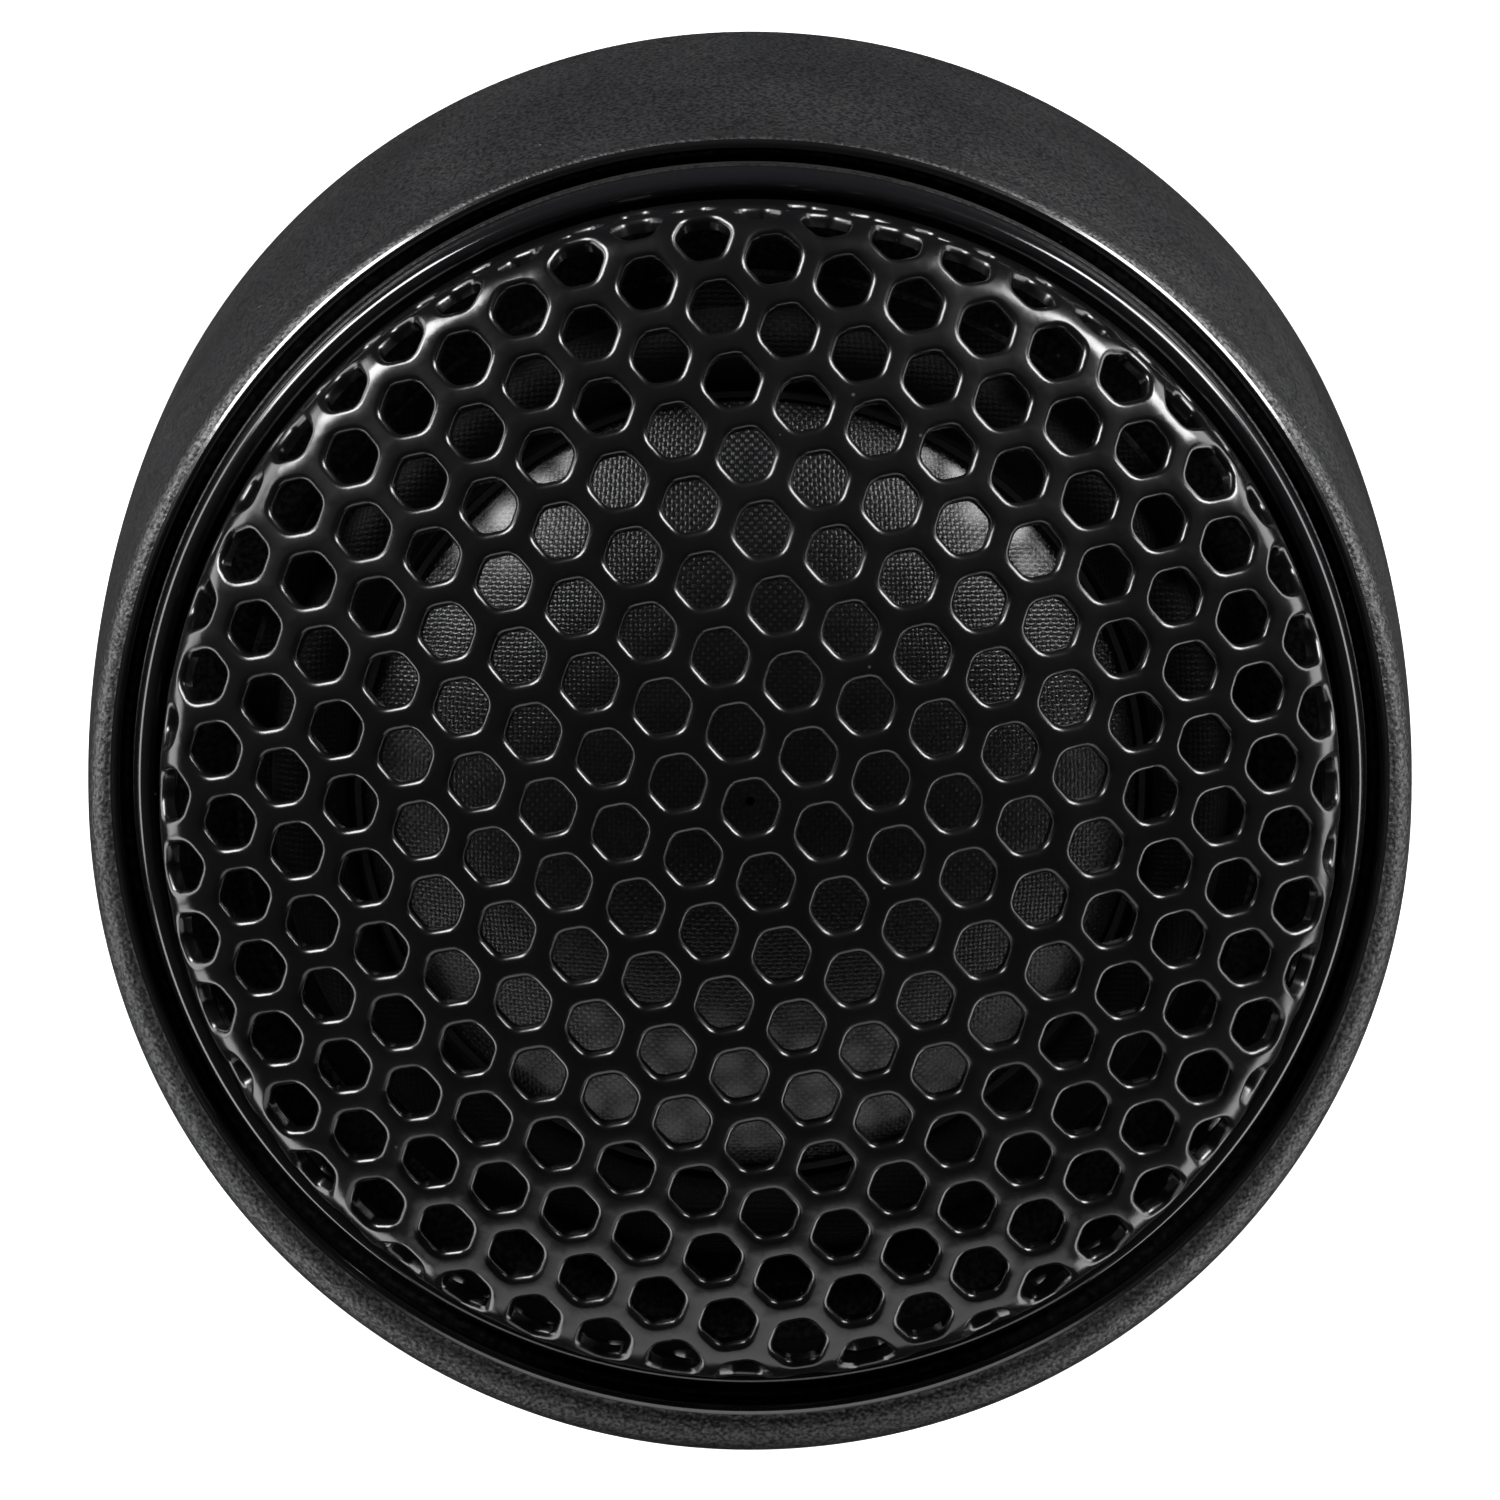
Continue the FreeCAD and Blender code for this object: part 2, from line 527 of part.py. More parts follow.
CAPSULE_PARTS = {
    "capsule_shell": capsule_shell,
    "bezel_ring": bezel_ring,
    "honeycomb_grille": honeycomb_grille,
    "front_frame": front_frame,
    "capsule_screws": capsule_screws,
    "yoke": yoke,
    "magnet": lambda: disc(MAGNET_RADIUS, YOKE_FLOOR, POLE_BOTTOM, VENT_RADIUS),
    "pole_plate": lambda: disc(POLE_RADIUS, POLE_BOTTOM, POLE_TOP, VENT_RADIUS),
    "copper_cap": copper_cap,
    "damping_felt": lambda: disc(FELT_RADIUS, POLE_TOP + CAP_THICKNESS,
                                 POLE_TOP + CAP_THICKNESS + FELT_THICKNESS, VENT_RADIUS),
    "rear_chamber": rear_chamber,
    "chamber_wool": lambda: disc(CHAMBER_RADIUS - CHAMBER_WALL - WOOL_SLACK, CHAMBER_BOTTOM + CHAMBER_WALL,
                                 WOOL_TOP),
    "terminal_board": terminal_board,
    "terminal_tabs": terminal_tabs,
    "lead_wires": lead_wires,
    "silk_dome": silk_dome,
    "surround": surround,
    "coil_former": lambda: disc(FORMER_OUTER, COIL_BOTTOM - FORMER_TAIL, SILK_EDGE_LEVEL, FORMER_INNER),
    "voice_coil": lambda: disc(COIL_OUTER, COIL_BOTTOM, COIL_TOP, FORMER_OUTER),
}
POD_PARTS = {"seat_pad": seat_pad, "friction_ring": friction_ring}
BASE_PARTS = {
    "base_plate": base_plate,
    "base_pad": base_pad,
    "cable_grommet": cable_grommet,
    "pod_shell": pod_shell,
}


def export(name, solid):
    print(name, "valid", solid.isValid(), "solids", len(solid.Solids), "volume", round(solid.Volume, 2))
    solid.exportStep("parts/" + name + ".step")


def main():
    os.makedirs("parts", exist_ok=True)
    for name, make in BASE_PARTS.items():
        export(name, make())
    for name, make in POD_PARTS.items():
        export(name, in_frame(POD_PLACE, make()))
    for name, make in CAPSULE_PARTS.items():
        export(name, in_frame(CAPSULE_PLACE, make()))


main()
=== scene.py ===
import json
import math

import bmesh
import bpy
import numpy as np
from mathutils import Matrix, Vector
from mathutils.geometry import delaunay_2d_cdt


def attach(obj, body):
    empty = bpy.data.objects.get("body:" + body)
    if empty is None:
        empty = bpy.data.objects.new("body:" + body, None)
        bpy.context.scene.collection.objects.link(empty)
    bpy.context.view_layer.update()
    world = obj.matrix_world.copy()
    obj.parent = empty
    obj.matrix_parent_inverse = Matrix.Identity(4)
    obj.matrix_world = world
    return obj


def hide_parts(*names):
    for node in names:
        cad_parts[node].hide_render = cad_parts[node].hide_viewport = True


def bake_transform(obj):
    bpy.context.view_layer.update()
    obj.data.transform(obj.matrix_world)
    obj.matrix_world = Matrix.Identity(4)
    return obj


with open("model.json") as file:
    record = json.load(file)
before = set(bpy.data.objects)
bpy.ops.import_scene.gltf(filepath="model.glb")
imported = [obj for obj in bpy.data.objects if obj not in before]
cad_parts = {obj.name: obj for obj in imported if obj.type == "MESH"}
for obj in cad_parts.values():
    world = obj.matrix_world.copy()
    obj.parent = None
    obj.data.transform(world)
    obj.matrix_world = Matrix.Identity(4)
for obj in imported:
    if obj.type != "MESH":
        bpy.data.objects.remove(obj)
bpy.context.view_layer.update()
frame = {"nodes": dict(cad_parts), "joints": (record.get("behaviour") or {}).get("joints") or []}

# A small silk-dome loudspeaker: a ball capsule with a domed honeycomb grille, held in
# an angled round pod.  Outlines are written in millimetres on the pod's or the
# capsule's own axis, with the ball's centre at zero, and are placed in the frame last.

MM = 0.001
JOINTS = {joint["name"]: joint for joint in frame["joints"]}
PIVOT = Vector(JOINTS["capsule_tilt"]["pos_m"])
CAPSULE_AXIS = Vector(JOINTS["dome_travel"]["axis"])
POD_TILT = math.radians(9.5)
VIEW_TILT = math.radians(13.5)
CAPSULE_TILT = math.atan2(-CAPSULE_AXIS.y, CAPSULE_AXIS.z)
POD_PLACE = Matrix.Translation(PIVOT) @ Matrix.Rotation(POD_TILT, 4, "X")
VIEW_PLACE = Matrix.Translation(PIVOT) @ Matrix.Rotation(VIEW_TILT, 4, "X")
CAPSULE_PLACE = Matrix.Translation(PIVOT) @ Matrix.Rotation(CAPSULE_TILT, 4, "X")

AROUND = 288              # steps round a full circle
BALL_RADIUS = 22.35
SHARP_ANGLE = math.radians(38)
GRILLE_SHARP_ANGLE = math.radians(60)

# pod skin, on the pod's axis but for the foot
FOOT_LEVEL = 0.3
FOOT_RADIUS = 23.9
FOOT_ROUND = 0.35
BELLY_LEVEL = 10.03
BELLY_RADIUS = 24.25
RIM_RADIUS = 24.05
RIM_LEVEL = -1.5
RIM_OFFSET = 0.6          # the rim is set towards the high side
SHOULDER_RADIUS = 23.14   # where the rounded shoulder ends beside the lip
SHOULDER_HEIGHT = 1.42
LIP_CENTRE = (22.99, -0.13)
LIP_ROUND = 0.18
RING_GROOVE_CENTRE = (22.66, -2.0)
RING_GROOVE_RADIUS = 0.4
MOUTH_RADIUS = 22.8
SEAT_STATIONS = [(MOUTH_RADIUS, -3.5, 0.0), (22.46, -4.0, 0.0), (21.86, -6.5, 0.0), (21.6, -6.9, -0.15)]
WAIST_RADIUS = 21.9       # inside the wall, between the seat and the cavity
WAIST_LEVEL = 8.5
CAVITY_RADIUS = 22.25
CAVITY_WALL_TOP = 3.4
TAB_HALF_SWEEP = 15.0     # twist-lock tabs, degrees each side of their middle
TAB_INNER = 21.1
TAB_OUTER = 22.6
TAB_BOTTOM = 0.9
TAB_TOP = 1.9
WALL_ROWS = 26
SHOULDER_ROWS = 11
OUTSIDE_ROWS = 3 + WALL_ROWS + SHOULDER_ROWS - 1

# bezel ring and ball shell, on the capsule's axis
BEZEL_OUTER = 22.3
BEZEL_SHOULDER = 0.45
BEAD_CENTRE = (21.8, 1.0)
BEAD_RADIUS = 0.36
BEAD_FOOT = (21.4, 0.85)
BEZEL_INNER_TOP = 0.78
SHELL_BOTTOM = -9.0
SHELL_FLOOR = -8.0
SHELL_MOUTH_RADIUS = 17.4
SHELL_BASE_RADIUS = 20.3
GRILLE_SEAT = (20.5, -1.2)
FRAME_SEAT = (20.5, -2.4)
SHELL_INSIDE_FOOT = 19.6

# grille sheet
GRILLE_RADIUS = 21.2
GRILLE_TOP = 10.75
CAP_RADIUS = 48.0
KNUCKLE_RADIUS = 1.8
SHEET_THICKNESS = 0.55
HOLE_PITCH = 2.75
HOLE_INRADIUS = 0.92
HOLE_CORNER = 0.52        # rounding of each hexagon's corners
EDGE_ROLL = 0.27
LATTICE_ANGLE = math.radians(41.5)
FIRST_HOLE = (-0.03, -0.46)
HOLE_REACH = 25.3         # from the apex, along the sheet
RIM_STEPS = 360
FILL_GAP = 0.12           # extra points keep this clear of the rolled hole edges

# silk dome and surround
SILK_EDGE_RADIUS = 14.2
SILK_SPHERE_RADIUS = 23.5
SILK_THICKNESS = 0.25
SILK_EDGE_LEVEL = 1.0
LIP_INNER = 14.16         # inner edge of the surround's glued lip
ROLL_INNER = 14.5
ROLL_OUTER = 17.3
ROLL_MIDDLE = (ROLL_INNER + ROLL_OUTER) / 2
ROLL_RADIUS = (ROLL_OUTER - ROLL_INNER) / 2
ROLL_THICKNESS = 0.2
SURROUND_FOOT = 17.4      # inner edge of the glue rim's underside
SURROUND_RIM = 18.4
LAND_TOP = 0.8
CLOTH_TOP = LAND_TOP + ROLL_THICKNESS
GLUE_INNER = 14.1
GLUE_OUTER = 14.55
GLUE_HOLLOW = (14.62, 1.36)   # centre of the fillet's hollow face
GLUE_HOLLOW_RADIUS = 0.34
GLUE_CREST = (14.05, 1.32)


# ---------------------------------------------------------------- meshes

def arc(centre, radius, start, end, count):
    """Points of a circular arc in an outline, from one angle to another in degrees."""
    turn = np.radians(np.linspace(start, end, count))
    return np.stack([centre[0] + radius * np.cos(turn), centre[1] + radius * np.sin(turn)], axis=1)


def outline(*stretches):
    """One (radius, height) outline from points and arcs in order."""
    return np.concatenate([np.atleast_2d(np.asarray(stretch, float)) for stretch in stretches])


def ring_faces(rows, columns, closed):
    """Quads between neighbouring rings of points; closed joins the last ring to the first."""
    row = np.arange(rows if closed else rows - 1)[:, None]
    column = np.arange(columns)[None, :]
    after_row = (row + 1) % rows
    after_column = (column + 1) % columns
    corners = [row * columns + column, row * columns + after_column,
               after_row * columns + after_column, after_row * columns + column]
    return np.stack(corners, axis=-1).reshape(-1, 4)


def turned(line, columns=AROUND):
    """Rings of points made by turning an outline about its axis."""
    turn = np.arange(columns) * (2 * math.pi / columns)
    radius = line[:, 0][:, None]
    height = np.repeat(line[:, 1][:, None], columns, axis=1)
    return np.stack([radius * np.cos(turn), radius * np.sin(turn), height], axis=-1).reshape(-1, 3)


def placed(points, place):
    """Millimetre points on an axis as metre points in the frame."""
    matrix = np.array(place, float)
    return points * MM @ matrix[:3, :3].T + matrix[:3, 3]


def piece(name, points, faces, material, body, node=None, flat=None, sharp=SHARP_ANGLE, second=None):
    """Mesh object from frame points, with an outward skin, a material and a body to ride on, if any.
    second is another material and the mask of the faces that take it."""
    mesh = bpy.data.meshes.new(name)
    mesh.from_pydata(points.tolist(), [], [face.tolist() for face in faces])
    work = bmesh.new()
    work.from_mesh(mesh)
    bmesh.ops.recalc_face_normals(work, faces=work.faces)
    work.to_mesh(mesh)
    work.free()
    mesh.shade_smooth()
    mesh.set_sharp_from_angle(angle=sharp)
    if flat is not None:
        layer = mesh.uv_layers.new(name="flat")
        corner_points = np.empty(len(mesh.loops), np.int32)
        mesh.loops.foreach_get("vertex_index", corner_points)
        layer.data.foreach_set("uv", flat[corner_points].astype(np.float32).ravel())
    made = bpy.data.objects.new(name, mesh)
    bpy.context.collection.objects.link(made)
    made.data.materials.append(material)
    if second is not None:
        made.data.materials.append(second[0])
        mesh.polygons.foreach_set("material_index", second[1].astype(np.int32))
    if body:
        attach(made, body)
    if node:
        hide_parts(node)
    return made


def turned_piece(name, line, material, place, body, node=None, flat=None, sharp=SHARP_ANGLE):
    """Closed solid of revolution; its outline runs anticlockwise in (radius, height)."""
    points = placed(turned(line), place)
    faces = ring_faces(len(line), AROUND, True)
    return piece(name, points, faces, material, body, node, flat, sharp)


# ---------------------------------------------------------------- shader groups

def add(tree, kind, settings=None, **sockets):
    """New shader node; sockets are linked or set by name."""
    node = tree.nodes.new(kind)
    for key, value in (settings or {}).items():
        setattr(node, key, value)
    for key, value in sockets.items():
        socket = node.inputs[int(key[1:])] if key[1:].isdigit() else node.inputs[key.replace("_", " ")]
        if isinstance(value, bpy.types.NodeSocket):
            tree.links.new(value, socket)
        else:
            socket.default_value = value
    return node


def sum_of(tree, operation, first, second=0.0, third=0.0, clamp=False):
    """Output of one maths node."""
    return add(tree, "ShaderNodeMath", {"operation": operation, "use_clamp": clamp}, i0=first, i1=second,
               i2=third).outputs[0]


def new_group(name, inputs, outputs):
    """Empty shader group with named sockets."""
    group = bpy.data.node_groups.new(name, "ShaderNodeTree")
    for socket, kind, value in inputs:
        made = group.interface.new_socket(socket, in_out="INPUT", socket_type="NodeSocket" + kind)
        if value is not None:
            made.default_value = value
    for socket, kind in outputs:
        group.interface.new_socket(socket, in_out="OUTPUT", socket_type="NodeSocket" + kind)
    return group, group.nodes.new("NodeGroupInput").outputs, group.nodes.new("NodeGroupOutput")


def grain_group():
    """Fine cast texture: small soft cells with finer grit in them, and a slow mottle."""
    results = [(result, "Float") for result in ("Height", "Grit", "Speckle", "Mottle")]
    group, given, out = new_group("grain", [("Place", "Vector", None), ("Size", "Float", 0.2)], results)
    scale = sum_of(group, "DIVIDE", 1000.0, given["Size"])
    cells = add(group, "ShaderNodeTexVoronoi", {"feature": "SMOOTH_F1"}, Vector=given["Place"], Scale=scale,
                Smoothness=0.8)
    fine = sum_of(group, "MULTIPLY", scale, 3.1)
    grit = add(group, "ShaderNodeTexNoise", Vector=given["Place"], Scale=fine, Detail=3.0, Roughness=0.6)
    mottle = add(group, "ShaderNodeTexNoise", Vector=given["Place"], Scale=90.0, Detail=5.0, Roughness=0.55)
    height = sum_of(group, "MULTIPLY_ADD", grit.outputs[0], 0.45, cells.outputs["Distance"])
    group.links.new(height, out.inputs["Height"])
    speckle = add(group, "ShaderNodeTexNoise", Vector=given["Place"], Scale=scale, Detail=1.0)
    group.links.new(grit.outputs[0], out.inputs["Grit"])
    group.links.new(speckle.outputs[0], out.inputs["Speckle"])
    group.links.new(mottle.outputs[0], out.inputs["Mottle"])
    return group


def weave_group():
    """Plain weave on a flat map in millimetres: each thread is a rounded ridge that rises
    and falls over its neighbours."""
    group, given, out = new_group("weave", [("Flat", "Vector", None), ("Pitch", "Float", 0.2)],
                                  [("Height", "Float"), ("Gap", "Float"), ("Thread", "Float")])
    wobble = add(group, "ShaderNodeTexNoise", Vector=given["Flat"], Scale=0.5, Detail=2.0)
    shift = add(group, "ShaderNodeVectorMath", {"operation": "SCALE"}, i0=wobble.outputs["Color"], Scale=0.25)
    bent = add(group, "ShaderNodeVectorMath", {"operation": "ADD"}, i0=given["Flat"], i1=shift.outputs[0])
    parts = add(group, "ShaderNodeSeparateXYZ", Vector=bent.outputs[0])
    turn = sum_of(group, "DIVIDE", math.pi, given["Pitch"])
    across = sum_of(group, "SINE", sum_of(group, "MULTIPLY", parts.outputs[0], turn))
    along = sum_of(group, "SINE", sum_of(group, "MULTIPLY", parts.outputs[1], turn))
    ridge_across = sum_of(group, "ABSOLUTE", across)
    ridge_along = sum_of(group, "ABSOLUTE", along)
    half_x = sum_of(group, "COSINE", sum_of(group, "MULTIPLY", parts.outputs[0], turn))
    half_y = sum_of(group, "COSINE", sum_of(group, "MULTIPLY", parts.outputs[1], turn))
    over = sum_of(group, "MULTIPLY_ADD", sum_of(group, "MULTIPLY", across, along), 0.5, 0.5)
    warp = sum_of(group, "MULTIPLY", ridge_across, over)
    under = sum_of(group, "SUBTRACT", 1.0, over)
    weft = sum_of(group, "MULTIPLY", ridge_along, under)
    height = sum_of(group, "MAXIMUM", warp, weft)
    hole = sum_of(group, "MULTIPLY", sum_of(group, "ABSOLUTE", half_x), sum_of(group, "ABSOLUTE", half_y))
    gap = sum_of(group, "POWER", hole, 4.0)
    group.links.new(height, out.inputs["Height"])
    group.links.new(gap, out.inputs["Gap"])
    group.links.new(over, out.inputs["Thread"])
    return group


def wear_group():
    """Handling marks: thin smears and a scatter of small dust specks."""
    group, given, out = new_group("wear", [("Place", "Vector", None)], [("Smear", "Float"), ("Dust", "Float")])
    long_way = add(group, "ShaderNodeMapping", Vector=given["Place"], Scale=(1.0, 0.3, 1.0))
    smear = add(group, "ShaderNodeTexNoise", Vector=long_way.outputs[0], Scale=160.0, Detail=6.0, Distortion=0.6)
    soft = add(group, "ShaderNodeMapRange", i0=smear.outputs[0], i1=0.42, i2=0.75)
    specks = add(group, "ShaderNodeTexVoronoi", Vector=given["Place"], Scale=900.0)
    close = sum_of(group, "LESS_THAN", specks.outputs["Distance"], 0.06)
    chance = sum_of(group, "FRACT", sum_of(group, "MULTIPLY", specks.outputs["Color"], 7.3))
    rare = sum_of(group, "GREATER_THAN", chance, 0.86)
    group.links.new(soft.outputs[0], out.inputs["Smear"])
    group.links.new(sum_of(group, "MULTIPLY", close, rare), out.inputs["Dust"])
    return group


GROUPS = {"grain": grain_group(), "weave": weave_group(), "wear": wear_group()}


# ---------------------------------------------------------------- materials

def shared(tree, name, **sockets):
    """A shared group in a material."""
    return add(tree, "ShaderNodeGroup", {"node_tree": GROUPS[name]}, **sockets).outputs


def blend_colour(tree, amount, first, second):
    """Colour between two colours."""
    mix = add(tree, "ShaderNodeMix", {"data_type": "RGBA"}, i0=amount)
    for index, colour in ((6, first), (7, second)):
        if isinstance(colour, bpy.types.NodeSocket):
            tree.links.new(colour, mix.inputs[index])
        else:
            mix.inputs[index].default_value = (*colour, 1.0)
    return mix.outputs[2]


def spread(tree, value, low, high):
    """A 0 to 1 value brought to another range."""
    return add(tree, "ShaderNodeMapRange", i0=value, i3=low, i4=high).outputs[0]


def raised(tree, height, distance, strength=1.0, under=None):
    """Normal of a bump, distance in millimetres."""
    bump = add(tree, "ShaderNodeBump", Height=height, Distance=distance * MM, Strength=strength)
    if under is not None:
        tree.links.new(under, bump.inputs["Normal"])
    return bump.outputs[0]


def new_material(name):
    """Material with an empty graph but for its shader and output."""
    material = bpy.data.materials.new(name)
    material.use_nodes = True
    tree = material.node_tree
    tree.nodes.clear()
    shader = add(tree, "ShaderNodeBsdfPrincipled")
    output = add(tree, "ShaderNodeOutputMaterial", Surface=shader.outputs[0])
    output.name = "Material Output"
    place = add(tree, "ShaderNodeTexCoord").outputs["Object"]
    return material, tree, shader, place


def put(tree, shader, **sockets):
    """Sets or links the shader's sockets."""
    for key, value in sockets.items():
        socket = shader.inputs[key.replace("_", " ")]
        if isinstance(value, bpy.types.NodeSocket):
            tree.links.new(value, socket)
        else:
            socket.default_value = value


def moulded(name, dark, light, rough, grain_size, grain_height, dust=0.5):
    """Moulded plastic or rubber: cast grain, slow mottle, handling marks and dust."""
    material, tree, shader, place = new_material(name)
    grain = shared(tree, "grain", Place=place, Size=grain_size)
    wear = shared(tree, "wear", Place=place)
    speckle = add(tree, "ShaderNodeMapRange", i0=grain["Speckle"], i1=0.36, i2=0.64).outputs[0]
    mottled = blend_colour(tree, grain["Mottle"], dark, light)
    body = blend_colour(tree, speckle, tuple(0.6 * part for part in dark), mottled)
    dusty = sum_of(tree, "MULTIPLY", wear["Dust"], dust)
    colour = blend_colour(tree, dusty, body, (0.35, 0.34, 0.32))
    roughness = spread(tree, wear["Smear"], rough[0], rough[1])
    gleam = spread(tree, speckle, 0.2, 0.75)
    put(tree, shader, Base_Color=colour, Roughness=roughness, Specular_IOR_Level=gleam,
        Normal=raised(tree, grain["Height"], grain_height))
    return material


def glossy(name, colour, rough, ripple_size, ripple_height, coat=0.0, dust=0.35):
    """Gloss paint or plastic: a faint orange-peel ripple under a clear skin."""
    material, tree, shader, place = new_material(name)
    grain = shared(tree, "grain", Place=place, Size=ripple_size)
    wear = shared(tree, "wear", Place=place)
    body = blend_colour(tree, grain["Mottle"], colour, tuple(1.5 * part for part in colour))
    dusted = blend_colour(tree, sum_of(tree, "MULTIPLY", wear["Dust"], dust), body, (0.4, 0.39, 0.37))
    roughness = spread(tree, wear["Smear"], rough[0], rough[1])
    put(tree, shader, Base_Color=dusted, Roughness=roughness, Coat_Weight=coat, Coat_Roughness=rough[0],
        IOR=1.52, Normal=raised(tree, grain["Height"], ripple_height))
    return material


def metal(name, colour, rough, brushed=(1.0, 1.0, 1.0), tarnish=(0.3, 0.25, 0.2), amount=0.25):
    """Bare or plated metal: fine lines or grain, and a little tarnish in patches."""
    material, tree, shader, place = new_material(name)
    lined = add(tree, "ShaderNodeMapping", Vector=place, Scale=brushed).outputs[0]
    lines = add(tree, "ShaderNodeTexNoise", Vector=lined, Scale=4000.0, Detail=4.0).outputs[0]
    grain = shared(tree, "grain", Place=place, Size=0.6)
    patches = sum_of(tree, "MULTIPLY", spread(tree, grain["Mottle"], -0.6, 1.6), amount, clamp=True)
    put(tree, shader, Base_Color=blend_colour(tree, patches, colour, tarnish), Metallic=1.0,
        Roughness=spread(tree, lines, rough[0], rough[1]), Normal=raised(tree, lines, 0.006))
    return material


def cloth(name, dark, light, pitch, height, rough, coat, gleam=0.5):
    """Coated woven cloth on its own flat map: threads, open corners between them, and the
    coating's soft shine."""
    material, tree, shader, place = new_material(name)
    flat = add(tree, "ShaderNodeUVMap", {"uv_map": "flat"}).outputs[0]
    weave = shared(tree, "weave", Flat=flat, Pitch=pitch)
    grain = shared(tree, "grain", Place=place, Size=0.12)
    threads = blend_colour(tree, spread(tree, grain["Grit"], -0.3, 1.3), dark, light)
    colour = blend_colour(tree, weave["Gap"], threads, tuple(0.3 * part for part in dark))
    fuzz = raised(tree, grain["Grit"], 0.25 * height)
    put(tree, shader, Base_Color=colour, Roughness=spread(tree, weave["Thread"], rough[0], rough[1]),
        Normal=raised(tree, weave["Height"], height, 1.0, fuzz), Sheen_Weight=0.02, Sheen_Roughness=0.4,
        Coat_Weight=coat, Coat_Roughness=0.2, Specular_IOR_Level=gleam)
    return material


def fibrous(name, dark, light, size, height):
    """Felt, foam or wadding: matted fibres or cells with deep small shadows."""
    material, tree, shader, place = new_material(name)
    grain = shared(tree, "grain", Place=place, Size=size)
    fibres = add(tree, "ShaderNodeTexNoise", Vector=place, Scale=1500.0, Detail=8.0, Distortion=2.5).outputs[0]
    mixed = sum_of(tree, "MULTIPLY", fibres, spread(tree, grain["Height"], 0.6, 1.4), clamp=True)
    put(tree, shader, Base_Color=blend_colour(tree, mixed, dark, light), Roughness=0.92, Sheen_Weight=0.4,
        Normal=raised(tree, mixed, height))
    return material


def wound_wire():
    """Enamelled copper winding: rows of fine round wire square to the coil's axis."""
    material, tree, shader, place = new_material("wound copper")
    axis = add(tree, "ShaderNodeVectorMath", {"operation": "DOT_PRODUCT"}, i0=place, i1=tuple(CAPSULE_AXIS))
    turns = sum_of(tree, "SINE", sum_of(tree, "MULTIPLY", axis.outputs["Value"], 2 * math.pi / (0.12 * MM)))
    grain = shared(tree, "grain", Place=place, Size=0.3)
    put(tree, shader, Base_Color=blend_colour(tree, grain["Mottle"], (0.55, 0.2, 0.09), (0.75, 0.34, 0.16)),
        Metallic=0.9, Roughness=0.32, Normal=raised(tree, turns, 0.03), Coat_Weight=0.5)
    return material


def laminate_board():
    """Brown paper laminate: faint crossed fibres under a varnish."""
    material, tree, shader, place = new_material("laminate board")
    flecks = add(tree, "ShaderNodeMapping", Vector=place, Scale=(1.0, 6.0, 6.0)).outputs[0]
    fibres = add(tree, "ShaderNodeTexNoise", Vector=flecks, Scale=900.0, Detail=6.0).outputs[0]
    put(tree, shader, Base_Color=blend_colour(tree, fibres, (0.22, 0.12, 0.04), (0.4, 0.25, 0.1)),
        Roughness=spread(tree, fibres, 0.35, 0.5), Normal=raised(tree, fibres, 0.01))
    return material


SATIN_BLACK = moulded("satin black", (0.01, 0.01, 0.011), (0.017, 0.017, 0.018), (0.42, 0.52), 0.15, 0.03, 0.3)
BALL_BLACK = moulded("ball black", (0.002, 0.002, 0.002), (0.004, 0.004, 0.004), (0.5, 0.6), 0.12, 0.004, 0.05)
LIP_BLACK = glossy("lip black", (0.003, 0.003, 0.003), (0.15, 0.22), 0.3, 0.003, 0.6, 0.1)
GLOSS_BLACK = glossy("gloss black", (0.004, 0.004, 0.0045), (0.1, 0.2), 0.9, 0.0012)
GRILLE_BLACK = glossy("grille paint", (0.0022, 0.0022, 0.0025), (0.22, 0.32), 0.35, 0.003, 0.0, 0.1)
SILK = cloth("coated silk", (0.006, 0.006, 0.0065), (0.016, 0.016, 0.018), 0.17, 0.02, (0.2, 0.3), 0.6)
SURROUND_CLOTH = cloth("surround cloth", (0.0015, 0.0015, 0.0015), (0.003, 0.003, 0.003), 0.2, 0.03,
                       (0.5, 0.65), 0.0, 0.08)
FELT = fibrous("felt", (0.02, 0.02, 0.02), (0.1, 0.1, 0.1), 0.25, 0.08)
